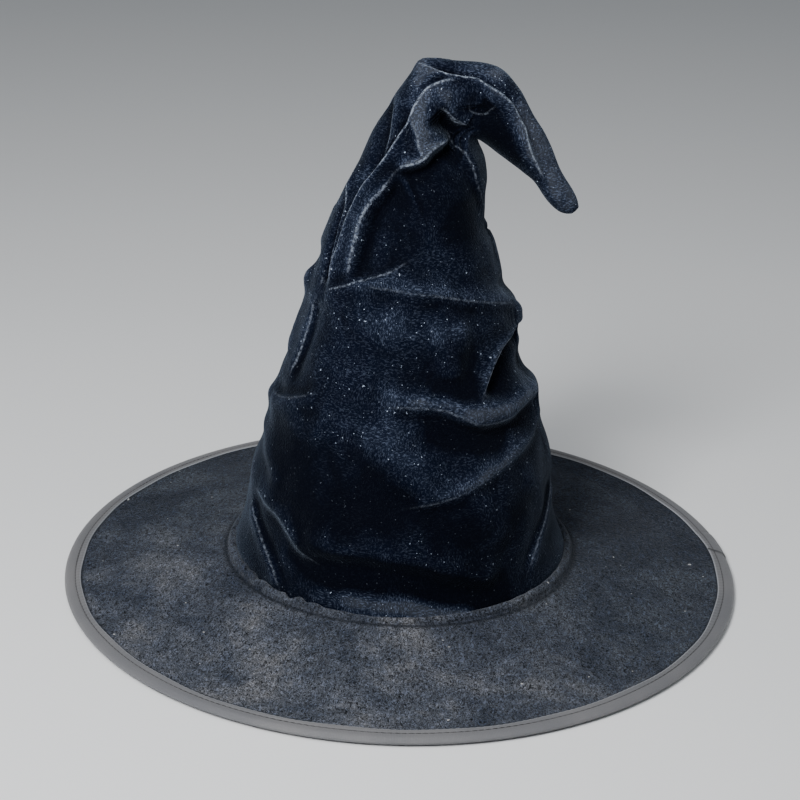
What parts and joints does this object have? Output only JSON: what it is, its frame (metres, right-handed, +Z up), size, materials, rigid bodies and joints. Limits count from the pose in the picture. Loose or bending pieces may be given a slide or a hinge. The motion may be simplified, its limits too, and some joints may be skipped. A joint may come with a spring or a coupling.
{
  "type": "witch hat",
  "caption": "Wide flat-brimmed velvet costume hat with a slouched, creased pointed crown whose tip folds over to one side.",
  "frame": {"origin": "centre of the brim, on the surface that the hat stands on", "axes": "+Z up through the crown, +X towards the side that the tip folds over to, -Y towards the viewer in front"},
  "size_m": [0.3999, 0.4, 0.3044],
  "materials": {
    "crown_velvet": "crushed velvet, very dark navy black with bright nap on the folds",
    "brim_velvet": "short-pile velvet, charcoal with a blotchy nap",
    "binding_satin": "smooth satin edge tape, mid grey",
    "under_fabric": "plain woven cloth, black",
    "stiffener_foam": "thin needled sheet, off-white",
    "dark_thread": "spun thread, black",
    "steel_wire": "drawn spring wire",
    "sleeve_steel": "crimped tube",
    "sweatband_twill": "twill tape, black",
    "seam_tape": "woven tape, black",
    "label_tape": "blank woven label, off-white",
    "interlining_web": "pressed web, grey",
    "lining_satin": "thin satin lining, black",
    "polyester_wadding": "loose fibre fill, white"
  },
  "bodies": {
    "hat": {"brim_top_velvet": "brim_velvet", "brim_foam_stiffener": "stiffener_foam", "brim_under_fabric": "under_fabric", "brim_edge_binding": "binding_satin", "binding_lap_end": "binding_satin", "binding_top_stitching": "dark_thread", "binding_under_stitching": "dark_thread", "brim_edge_wire": "steel_wire", "wire_joiner_sleeve": "sleeve_steel", "sweatband": "sweatband_twill", "base_seam_tape": "seam_tape", "sweatband_stitching": "dark_thread", "crown_seam_thread": "dark_thread", "care_label": "label_tape", "crown_velvet": "crown_velvet", "crown_interlining": "interlining_web", "crown_lining": "lining_satin"},
    "tip": {"tip_velvet": "crown_velvet", "tip_wadding": "polyester_wadding"}
  },
  "joints": [
    {"name": "tip_fold", "type": "hinge", "parent": "hat", "child": "tip", "pos_m": [0.033, 0, 0.281], "axis": [0, -1, 0], "range_deg": [0, 75]}
  ]
}
